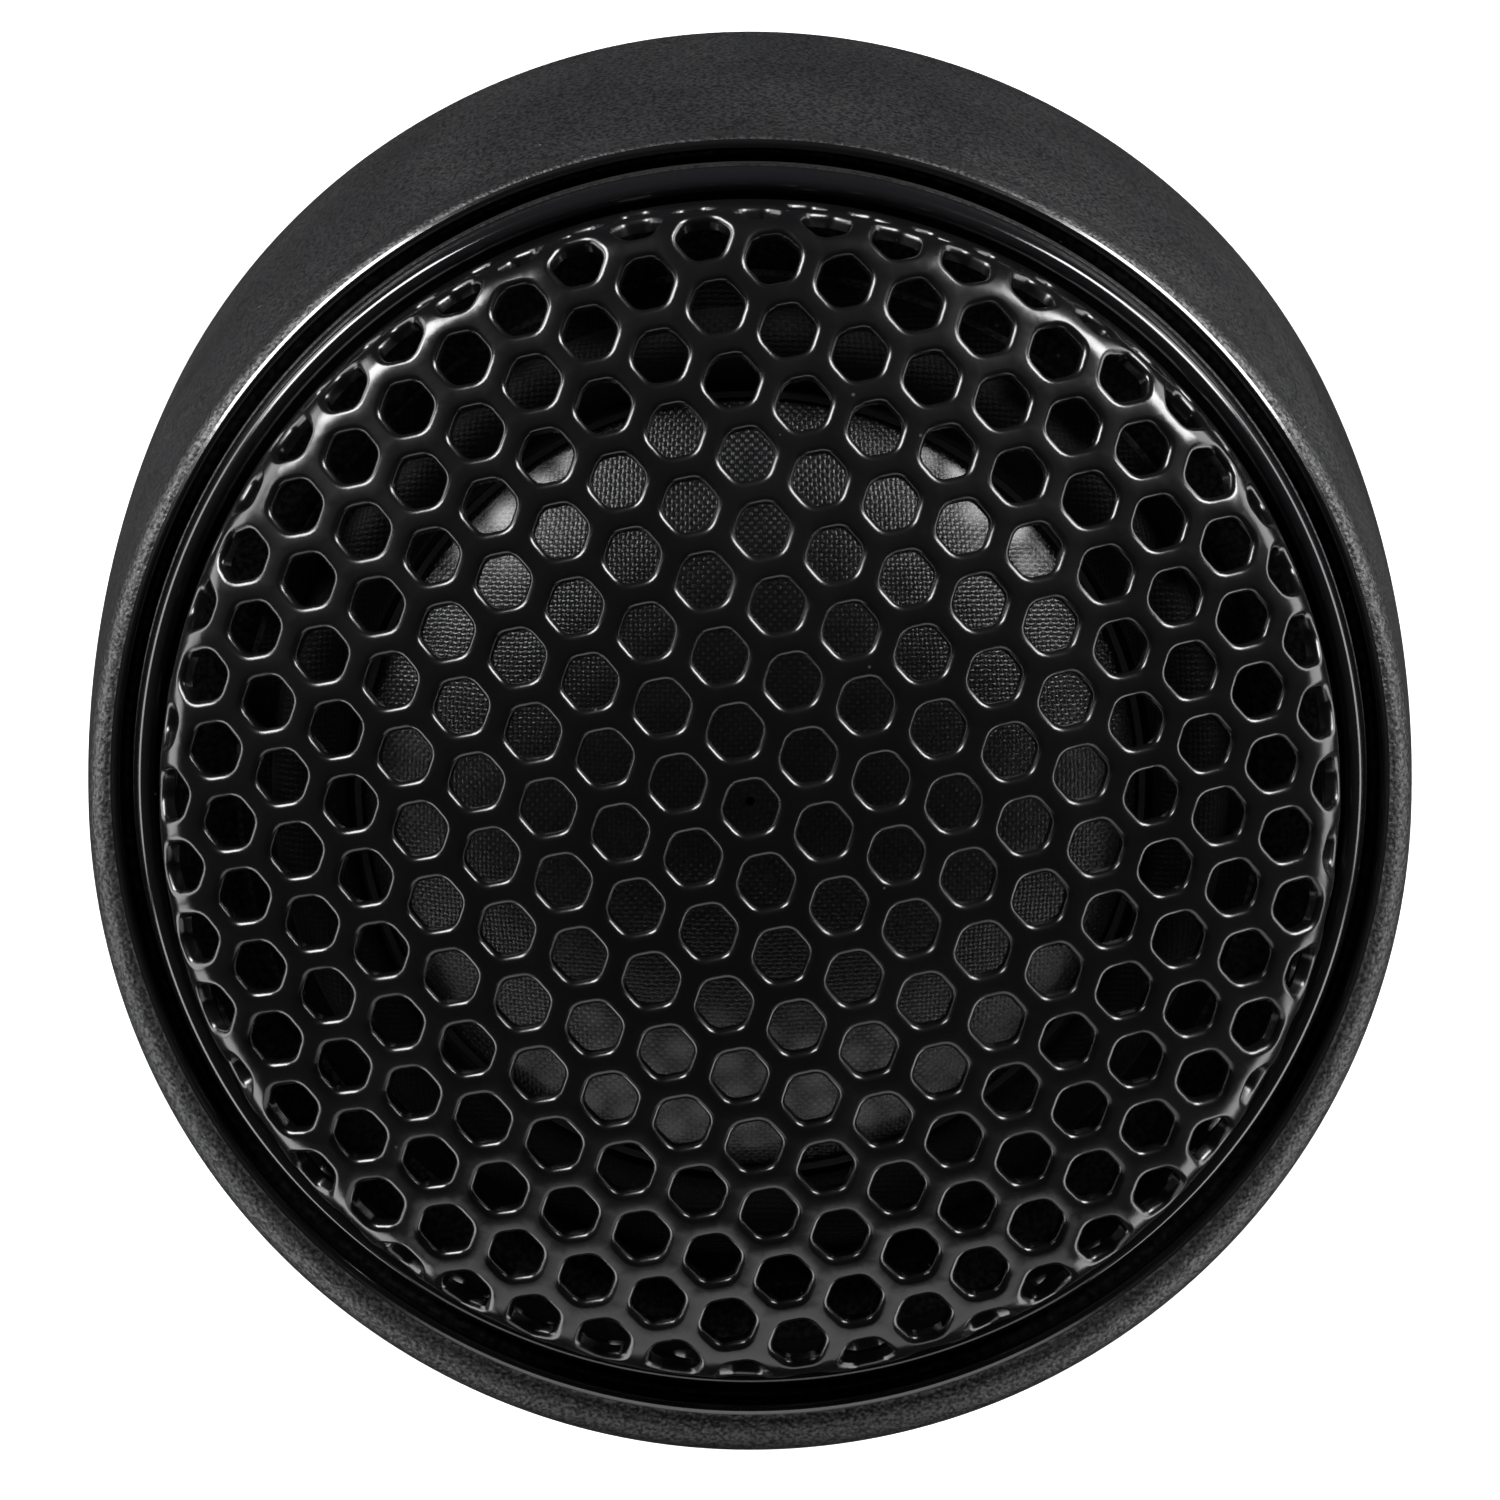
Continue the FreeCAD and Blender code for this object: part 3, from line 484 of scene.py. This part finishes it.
CAD_FINISHES = {
    "base_plate": moulded("base moulding", (0.02, 0.02, 0.021), (0.035, 0.035, 0.036), (0.4, 0.55),
                          0.22, 0.015),
    "base_pad": fibrous("closed cell foam", (0.02, 0.02, 0.02), (0.06, 0.06, 0.06), 0.3, 0.06),
    "cable_grommet": moulded("bush rubber", (0.01, 0.01, 0.01), (0.02, 0.02, 0.02), (0.55, 0.7), 0.3, 0.01),
    "friction_ring": moulded("ring rubber", (0.012, 0.012, 0.012), (0.02, 0.02, 0.02), (0.3, 0.45), 0.3, 0.004),
    "seat_pad": FELT,
    "front_frame": moulded("frame moulding", (0.014, 0.014, 0.015), (0.026, 0.026, 0.027), (0.4, 0.55),
                           0.2, 0.01),
    "capsule_screws": metal("zinc screw", (0.6, 0.6, 0.58), (0.2, 0.35)),
    "yoke": metal("plated steel", (0.55, 0.55, 0.54), (0.25, 0.4), (1.0, 1.0, 8.0)),
    "magnet": metal("nickel plate", (0.66, 0.63, 0.58), (0.12, 0.22), amount=0.1),
    "pole_plate": metal("turned steel", (0.5, 0.5, 0.5), (0.25, 0.4), (1.0, 1.0, 6.0)),
    "copper_cap": metal("bare copper", (0.82, 0.42, 0.26), (0.18, 0.3), tarnish=(0.25, 0.12, 0.07)),
    "damping_felt": FELT,
    "rear_chamber": moulded("chamber moulding", (0.02, 0.02, 0.02), (0.034, 0.034, 0.034), (0.4, 0.6),
                            0.25, 0.01),
    "chamber_wool": fibrous("wadding", (0.35, 0.33, 0.28), (0.75, 0.72, 0.66), 0.5, 0.2),
    "terminal_board": laminate_board(),
    "terminal_tabs": metal("tinned brass", (0.72, 0.66, 0.5), (0.2, 0.35)),
    "lead_wires": metal("bare wire", (0.8, 0.45, 0.3), (0.2, 0.3)),
    "coil_former": metal("former foil", (0.75, 0.75, 0.76), (0.2, 0.35), amount=0.1),
    "voice_coil": wound_wire(),
}


# ---------------------------------------------------------------- grille

def sheet_profile(reach):
    """Radius, level and slope of the sheet's outside at a distance from its apex, along the sheet.

    A shallow ball cap of CAP_RADIUS meets a knuckle arc of KNUCKLE_RADIUS where both have
    the same slope; the knuckle ends upright and runs straight down as the skirt.
    """
    inner = CAP_RADIUS - KNUCKLE_RADIUS
    join = math.asin((GRILLE_RADIUS - KNUCKLE_RADIUS) / inner)
    cap_reach = CAP_RADIUS * join
    full_reach = cap_reach + KNUCKLE_RADIUS * (math.pi / 2 - join)
    slope = np.where(reach < cap_reach, reach / CAP_RADIUS, join + (reach - cap_reach) / KNUCKLE_RADIUS)
    slope = np.minimum(slope, math.pi / 2)
    on_cap = reach < cap_reach
    radius = np.where(on_cap, CAP_RADIUS * np.sin(slope),
                      inner * math.sin(join) + KNUCKLE_RADIUS * np.sin(slope))
    drop = np.where(on_cap, CAP_RADIUS * np.cos(slope),
                    inner * math.cos(join) + KNUCKLE_RADIUS * np.cos(slope))
    level = GRILLE_TOP - CAP_RADIUS + drop - np.maximum(reach - full_reach, 0.0)
    return radius, level, slope


def foot_reach():
    """Distance along the sheet from its apex to the skirt's foot at level zero."""
    far = 60.0
    return far + float(sheet_profile(np.array([far]))[1][0])


def onto_sheet(flat, depth):
    """Flat sheet points bent into the dome, so far under its outside."""
    reach = np.hypot(flat[:, 0], flat[:, 1])
    turn = np.arctan2(flat[:, 1], flat[:, 0])
    radius, level, slope = sheet_profile(reach)
    radius = radius - depth * np.sin(slope)
    level = level - depth * np.cos(slope)
    return np.stack([radius * np.cos(turn), radius * np.sin(turn), level], axis=1)


def hole_places():
    """Centres of the punched holes: a triangular lattice cut off at HOLE_REACH."""
    step = np.arange(-12, 13)
    first, second = (HOLE_PITCH * np.array([math.cos(LATTICE_ANGLE + turn), math.sin(LATTICE_ANGLE + turn)])
                     for turn in (0.0, math.pi / 3))
    grid = step[:, None, None] * first + step[None, :, None] * second + np.array(FIRST_HOLE)
    grid = grid.reshape(-1, 2)
    return grid[np.hypot(grid[:, 0], grid[:, 1]) <= HOLE_REACH]


def hexagon_loop(growth, per_corner=5):
    """Rounded hexagon, its sides facing the neighbouring holes, grown by an offset."""
    corner_radius = HOLE_CORNER + growth
    corner_reach = (HOLE_INRADIUS - HOLE_CORNER) / math.cos(math.pi / 6)
    corner = LATTICE_ANGLE + math.pi / 6 + np.arange(6) * math.pi / 3
    sweep = np.linspace(-math.pi / 6, math.pi / 6, per_corner)
    turn = corner[:, None] + sweep[None, :]
    across = corner_reach * np.cos(corner)[:, None] + corner_radius * np.cos(turn)
    up = corner_reach * np.sin(corner)[:, None] + corner_radius * np.sin(turn)
    return np.stack([across, up], axis=-1).reshape(-1, 2)


def hexagon_distance(points, centres):
    """Distance of each point outside the nearest hole's side lines; negative inside a hole."""
    side = LATTICE_ANGLE + np.arange(6) * math.pi / 3
    normal = np.stack([np.cos(side), np.sin(side)])
    best = np.full(len(points), np.inf)
    for centre in centres:
        best = np.minimum(best, ((points - centre) @ normal).max(axis=1))
    return best - HOLE_INRADIUS


def honeycomb_grille():
    """The perforated dome.  The web between the holes is a flat triangulated disc with the
    holes left out; each hole gets rings that roll over its edge by EDGE_ROLL, go straight
    down the wall and come back under the sheet.  Then the whole flat sheet is bent.
    """
    centres = hole_places()
    rolls = np.radians([0.0, 18.0, 36.0, 54.0, 72.0, 90.0])
    loops = [(EDGE_ROLL * (1 - math.sin(roll)), EDGE_ROLL * (1 - math.cos(roll))) for roll in rolls]
    loops.append((0.0, SHEET_THICKNESS))
    edge = hexagon_loop(loops[0][0])
    size = len(edge)
    foot = foot_reach()

    circle = np.arange(RIM_STEPS) * (2 * math.pi / RIM_STEPS)
    rows = np.append(np.arange(19.4, 23.2, 0.3), [23.8, 24.6, 25.4, 26.0, 26.6])
    fill = (rows[:, None, None] * np.stack([np.cos(circle), np.sin(circle)], axis=-1)).reshape(-1, 2)
    fill = fill[hexagon_distance(fill, centres) > EDGE_ROLL + FILL_GAP]
    rim = foot * np.stack([np.cos(circle), np.sin(circle)], axis=-1)
    web = np.concatenate([(centres[:, None, :] + edge[None]).reshape(-1, 2), rim, fill])
    first = (np.arange(len(centres)) * size)[:, None] + np.arange(size)
    hole_edges = np.stack([first, np.roll(first, -1, axis=1)], axis=-1).reshape(-1, 2)
    rim_start = len(centres) * size
    rim_ring = rim_start + np.arange(RIM_STEPS)
    rim_edges = np.stack([rim_ring, np.roll(rim_ring, -1)], axis=1)
    edges = np.concatenate([hole_edges, rim_edges])
    cut = delaunay_2d_cdt(web.tolist(), edges.tolist(), [], 0, 1e-7)
    triangles = np.array(cut[2])
    owner = np.where(np.arange(len(web)) < rim_start, np.arange(len(web)) // size, -1)
    corners = owner[triangles]
    in_hole = (corners[:, 0] == corners[:, 1]) & (corners[:, 1] == corners[:, 2]) & (corners[:, 0] >= 0)
    triangles = triangles[~in_hole]

    count = len(web)
    outside = onto_sheet(web, 0.0)
    inside = onto_sheet(web, SHEET_THICKNESS)
    ring_points = []
    for growth, depth in loops[1:]:
        loop = hexagon_loop(growth)
        ring_points.append(onto_sheet((centres[:, None, :] + loop[None]).reshape(-1, 2), depth))
    points = np.concatenate([outside, inside] + ring_points)

    faces = [triangles, triangles[:, ::-1] + count]
    starts = [0] + [2 * count + index * len(centres) * size for index in range(len(loops) - 1)] + [count]
    after = np.roll(first, -1, axis=1)
    for upper, lower in zip(starts[:-1], starts[1:]):
        wall = np.stack([first + upper, first + lower, after + lower, after + upper], axis=-1)
        faces.append(wall.reshape(-1, 4))
    next_ring = np.roll(rim_ring, -1)
    faces.append(np.stack([rim_ring, rim_ring + count, next_ring + count, next_ring], axis=1))
    return points, [row for block in faces for row in block]


# ---------------------------------------------------------------- capsule

def bezel_outline():
    """Gloss ring: upright sides, a rounded bead as its crest, a small step down to the grille."""
    bead = arc(BEAD_CENTRE, BEAD_RADIUS, 0.0, 160.0, 16)
    inner = GRILLE_RADIUS + 0.02
    return outline((inner, 0.0), (BEZEL_OUTER, 0.0), (BEZEL_OUTER, BEZEL_SHOULDER), bead, BEAD_FOOT,
                   (inner, BEZEL_INNER_TOP))


def shell_outline():
    """Ball-zone housing, hollow, with a floor that stops at the motor cup."""
    low = math.degrees(math.asin((SHELL_BOTTOM + 0.1) / BALL_RADIUS))
    belt = arc((0.0, 0.0), BALL_RADIUS, low, -0.2, 40)
    return outline((SHELL_MOUTH_RADIUS, SHELL_BOTTOM), (SHELL_BASE_RADIUS, SHELL_BOTTOM), belt,
                   (BEZEL_OUTER, 0.0), (GRILLE_RADIUS, 0.0), (GRILLE_RADIUS, GRILLE_SEAT[1]), GRILLE_SEAT,
                   FRAME_SEAT, (SHELL_INSIDE_FOOT, SHELL_FLOOR), (SHELL_MOUTH_RADIUS, SHELL_FLOOR))


def silk_outline():
    """Dome cap: outside arc from the edge to the apex, then the inside arc back."""
    centre = SILK_EDGE_LEVEL - math.sqrt(SILK_SPHERE_RADIUS ** 2 - SILK_EDGE_RADIUS ** 2)
    inner = SILK_SPHERE_RADIUS - SILK_THICKNESS
    low = math.degrees(math.acos(SILK_EDGE_RADIUS / SILK_SPHERE_RADIUS))
    low_inside = math.degrees(math.asin((SILK_EDGE_LEVEL - centre) / inner))
    outside = arc((0.0, centre), SILK_SPHERE_RADIUS, low, 89.6, 64)
    return outline(outside, arc((0.0, centre), inner, 89.6, low_inside, 32))


def outer_roll_outline():
    """Outer half of the surround's half roll, from its crown down to the glue rim on the frame."""
    outside = arc((ROLL_MIDDLE, LAND_TOP), ROLL_RADIUS, 9.0, 90.0, 14)
    inside = arc((ROLL_MIDDLE, LAND_TOP), ROLL_RADIUS - ROLL_THICKNESS, 90.0, 0.0, 11)
    return outline((SURROUND_FOOT, LAND_TOP), (SURROUND_RIM, LAND_TOP), (SURROUND_RIM, CLOTH_TOP),
                   (ROLL_OUTER, CLOTH_TOP), outside, inside)


def inner_roll_outline():
    """Inner half of the half roll, from its crown down to the lip glued to the dome."""
    outside = arc((ROLL_MIDDLE, LAND_TOP), ROLL_RADIUS, 90.0, 171.0, 14)
    inside = arc((ROLL_MIDDLE, LAND_TOP), ROLL_RADIUS - ROLL_THICKNESS, 180.0, 90.0, 11)
    return outline(outside, (LIP_INNER, CLOTH_TOP), (LIP_INNER, LAND_TOP), inside)


def glue_bead_outline():
    """Fillet of clear glue in the corner between dome and surround."""
    hollow = arc(GLUE_HOLLOW, GLUE_HOLLOW_RADIUS, 255.0, 175.0, 6)
    return outline((GLUE_INNER, SILK_EDGE_LEVEL), (GLUE_OUTER, SILK_EDGE_LEVEL), hollow, GLUE_CREST)


def cloth_flat(line, columns=AROUND):
    """Flat map for cloth on a turned piece: each point goes out from the middle by its distance along the
    outline, so the threads keep their spacing up the dome and over the roll."""
    run = np.cumsum(np.hypot(*np.diff(line, axis=0, prepend=line[:1]).T))
    top = line[:, 1].argmax() if line[:, 0].min() < 1.0 else 0
    reach = np.abs(run - run[top]) if line[:, 0].min() < 1.0 else line[:, 0].max() - run
    turn = np.arange(columns) * (2 * math.pi / columns)
    return np.stack([reach[:, None] * np.cos(turn), reach[:, None] * np.sin(turn)], axis=-1).reshape(-1, 2)


# ---------------------------------------------------------------- pod

def ring_row(tilt, y, z, radius, columns=AROUND):
    """One ring of points, its plane tipped about X by a tilt, centred over x = 0."""
    turn = np.arange(columns) * (2 * math.pi / columns)
    along = radius * np.sin(turn)
    return np.stack([radius * np.cos(turn), y + along * math.cos(tilt), z + along * math.sin(tilt)], axis=1)


def axis_row(radius, level, offset=0.0):
    """Ring square to the pod's axis, its centre set off towards the high side."""
    centre = POD_PLACE @ Vector((0.0, offset * MM, level * MM)) / MM
    return ring_row(POD_TILT, centre.y, centre.z, radius)


def between(first, belly, last, share):
    """Value on the parabola through three, at shares 0, a half and 1."""
    return (first * (1 - share) * (1 - 2 * share) + 4 * belly * share * (1 - share)
            + last * share * (2 * share - 1))


def pod_rows():
    """Rings of the pod's closed skin, from the foot up the outside, over the lip and down the inside."""
    foot = (0.0, 0.0, FOOT_LEVEL, FOOT_RADIUS)
    belly = (POD_TILT / 2, RIM_OFFSET / 2, BELLY_LEVEL, BELLY_RADIUS)
    rim_centre = POD_PLACE @ Vector((0.0, RIM_OFFSET * MM, RIM_LEVEL * MM)) / MM
    rim = (POD_TILT, rim_centre.y, rim_centre.z, RIM_RADIUS)
    rows = []
    for turn in np.radians([90.0, 60.0, 30.0]):
        level = FOOT_LEVEL + FOOT_ROUND * (1 - math.sin(turn))
        rows.append(ring_row(0.0, 0.0, level, FOOT_RADIUS - FOOT_ROUND * (1 - math.cos(turn))))
    for share in np.linspace(0.03, 1.0, WALL_ROWS):
        tilt, y, z, radius = (between(*stations, share) for stations in zip(foot, belly, rim))
        rows.append(ring_row(tilt, y, z, radius))
    for turn in np.radians(np.linspace(82.0, 3.0, SHOULDER_ROWS)):
        radius = SHOULDER_RADIUS + (RIM_RADIUS - SHOULDER_RADIUS) * math.sin(turn)
        level = RIM_LEVEL + SHOULDER_HEIGHT * math.cos(turn)
        rows.append(axis_row(radius, level, RIM_OFFSET * math.sin(turn)))
    rows += [axis_row(radius, level) for radius, level in arc(LIP_CENTRE, LIP_ROUND, 60.0, 176.0, 10)]
    groove = arc(RING_GROOVE_CENTRE, RING_GROOVE_RADIUS, 69.0, -69.0, 14)
    rows += [axis_row(radius, level) for radius, level in groove]
    rows += [axis_row(*station) for station in SEAT_STATIONS]
    rows.append(ring_row(POD_TILT / 2, RIM_OFFSET / 2, WAIST_LEVEL, WAIST_RADIUS))
    rows += [ring_row(0.0, 0.0, level, CAVITY_RADIUS) for level in (CAVITY_WALL_TOP, FOOT_LEVEL)]
    return rows


def tab_block(middle, columns=12):
    """One inward twist-lock tab, let into the pod's wall, as a closed block."""
    turn = np.radians(np.linspace(middle - TAB_HALF_SWEEP, middle + TAB_HALF_SWEEP, columns))
    section = np.array([(TAB_INNER, TAB_BOTTOM), (TAB_OUTER, TAB_BOTTOM),
                        (TAB_OUTER, TAB_TOP), (TAB_INNER, TAB_TOP)])
    radius = section[:, 0][:, None]
    height = np.repeat(section[:, 1][:, None], columns, axis=1)
    points = np.stack([radius * np.cos(turn), radius * np.sin(turn), height], axis=-1)
    column = np.arange(columns - 1)
    faces = []
    for row in range(4):
        start, after = row * columns + column, (row + 1) % 4 * columns + column
        faces.append(np.stack([start, start + 1, after + 1, after], axis=1))
    ends = np.arange(4) * columns
    return points.reshape(-1, 3), np.concatenate(faces + [ends[None], ends[None, ::-1] + columns - 1])


def pod_shell():
    """Points and faces of the pod with its tabs, and the mask of the faces on the polished lip and inside."""
    rows = pod_rows()
    blocks = [(np.concatenate(rows), ring_faces(len(rows), AROUND, True))]
    blocks += [tab_block(middle) for middle in (90.0, 210.0, 330.0)]
    points, faces, start = [], [], 0
    for block_points, block_faces in blocks:
        points.append(block_points)
        faces.append(block_faces + start)
        start += len(block_points)
    smooth = np.arange(sum(len(block) for block in faces)) // AROUND
    smooth = (smooth >= OUTSIDE_ROWS) & (smooth < len(rows))
    return np.concatenate(points) * MM, np.concatenate(faces), smooth


# ---------------------------------------------------------------- the object

def make_object():
    for node, material in CAD_FINISHES.items():
        made = frame["nodes"][node]
        made.data.materials.clear()
        made.data.materials.append(material)

    points, faces, smooth = pod_shell()
    piece("pod_skin", points, faces, SATIN_BLACK, "pod", "pod_shell", second=(LIP_BLACK, smooth))
    points, faces = honeycomb_grille()
    piece("honeycomb", placed(points, CAPSULE_PLACE), faces, GRILLE_BLACK, "capsule", "honeycomb_grille",
          sharp=GRILLE_SHARP_ANGLE)
    turned_piece("bezel", bezel_outline(), GLOSS_BLACK, CAPSULE_PLACE, "capsule", "bezel_ring")
    turned_piece("ball_shell", shell_outline(), BALL_BLACK, CAPSULE_PLACE, "capsule", "capsule_shell")
    silk = silk_outline()
    turned_piece("silk", silk, SILK, CAPSULE_PLACE, "diaphragm", "silk_dome", cloth_flat(silk))
    inner = inner_roll_outline()
    turned_piece("inner_roll", inner, SURROUND_CLOTH, CAPSULE_PLACE, "diaphragm", "surround", cloth_flat(inner))
    outer = outer_roll_outline()
    flexing = turned_piece("outer_roll", outer, SURROUND_CLOTH, CAPSULE_PLACE, None, flat=cloth_flat(outer))
    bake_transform(flexing)
    bead = glossy("clear glue", (0.02, 0.02, 0.02), (0.1, 0.2), 0.5, 0.004)
    turned_piece("dome_glue", glue_bead_outline(), bead, CAPSULE_PLACE, "diaphragm")


# ---------------------------------------------------------------- camera and light

VIEW_DISTANCE = 0.5
VIEW_LENS = 331.2
VIEW_SHIFT = 1.03 * MM
VIEW_LINE = (VIEW_PLACE.to_3x3() @ Vector((0, 0, 1))).normalized()
VIEW_UP = (VIEW_PLACE.to_3x3() @ Vector((0, -1, 0))).normalized()
VIEW_RIGHT = Vector((-1, 0, 0))


def looking(location, target_axis, up):
    """Placement with local Z along an axis and local Y towards up."""
    right = up.cross(target_axis).normalized()
    top = target_axis.cross(right)
    turn = Matrix((right, top, target_axis)).transposed().to_4x4()
    return Matrix.Translation(location) @ turn


def make_camera():
    camera = bpy.data.objects.new("camera", bpy.data.cameras.new("camera"))
    bpy.context.collection.objects.link(camera)
    camera.data.lens = VIEW_LENS
    camera.data.sensor_width = 36.0
    camera.data.clip_start = 0.01
    camera.data.clip_end = 20.0
    place = PIVOT + VIEW_LINE * VIEW_DISTANCE + VIEW_UP * VIEW_SHIFT
    camera.matrix_world = looking(place, VIEW_LINE, VIEW_UP)
    bpy.context.scene.camera = camera


def aimed(made, heading, off_axis, distance):
    """Turns a light or card towards the ball's centre.  Heading is the turn from the view's right
    towards its top, and off_axis the angle from the view's line, in degrees."""
    turn, lean = math.radians(heading), math.radians(off_axis)
    side = VIEW_RIGHT * math.cos(turn) + VIEW_UP * math.sin(turn)
    direction = (VIEW_LINE * math.cos(lean) + side * math.sin(lean)).normalized()
    made.matrix_world = looking(PIVOT + direction * distance, direction, VIEW_LINE)


def softbox(name, heading, off_axis, distance, width, height, power):
    """Soft rectangular light."""
    light = bpy.data.lights.new(name, "AREA")
    light.shape = "RECTANGLE"
    light.size = width
    light.size_y = height
    light.energy = power
    made = bpy.data.objects.new(name, light)
    bpy.context.collection.objects.link(made)
    aimed(made, heading, off_axis, distance)


def card(name, heading, off_axis, distance, width, height, glow):
    """Pale glowing card."""
    mesh = bpy.data.meshes.new(name)
    x, y = width / 2, height / 2
    mesh.from_pydata([(-x, -y, 0), (x, -y, 0), (x, y, 0), (-x, y, 0)], [], [(0, 1, 2, 3)])
    mesh.materials.append(pale_surface(name, glow))
    made = bpy.data.objects.new(name, mesh)
    bpy.context.collection.objects.link(made)
    aimed(made, heading, off_axis, distance)


def pale_surface(name, glow):
    """Plain white surface that glows a little."""
    material = bpy.data.materials.new(name)
    material.use_nodes = True
    shader = material.node_tree.nodes["Principled BSDF"]
    put(material.node_tree, shader, Base_Color=(0.85, 0.85, 0.85, 1.0), Roughness=0.9,
        Emission_Color=(1.0, 1.0, 1.0, 1.0), Emission_Strength=glow)
    return material


def make_floor():
    mesh = bpy.data.meshes.new("floor")
    mesh.from_pydata([(-3, -3, 0), (3, -3, 0), (3, 3, 0), (-3, 3, 0)], [], [(0, 1, 2, 3)])
    mesh.materials.append(pale_surface("floor white", 1.0))
    floor = bpy.data.objects.new("floor", mesh)
    floor.location.z = -0.05 * MM
    bpy.context.collection.objects.link(floor)
    floor.visible_diffuse = False
    floor.visible_glossy = False


def make_light():
    world = bpy.data.worlds.new("studio")
    world.use_nodes = True
    world.node_tree.nodes["Background"].inputs["Color"].default_value = (0.9, 0.95, 1.0, 1.0)
    world.node_tree.nodes["Background"].inputs["Strength"].default_value = 0.02
    bpy.context.scene.world = world
    bpy.context.scene.view_settings.view_transform = "Standard"
    softbox("left softbox", 138.0, 68.0, 0.6, 0.26, 0.26, 5.5)
    softbox("right softbox", 43.0, 68.0, 0.6, 0.26, 0.26, 5.5)
    card("back card", -90.0, 76.0, 0.7, 0.7, 0.42, 0.75)
    card("left card", 165.0, 98.0, 0.6, 0.7, 0.3, 4.5)
    card("right card", 15.0, 98.0, 0.6, 0.7, 0.3, 4.5)
    card("low left card", 220.0, 98.0, 0.6, 0.45, 0.3, 4.0)
    card("low right card", -40.0, 98.0, 0.6, 0.45, 0.3, 4.0)


make_object()
make_camera()
make_floor()
make_light()
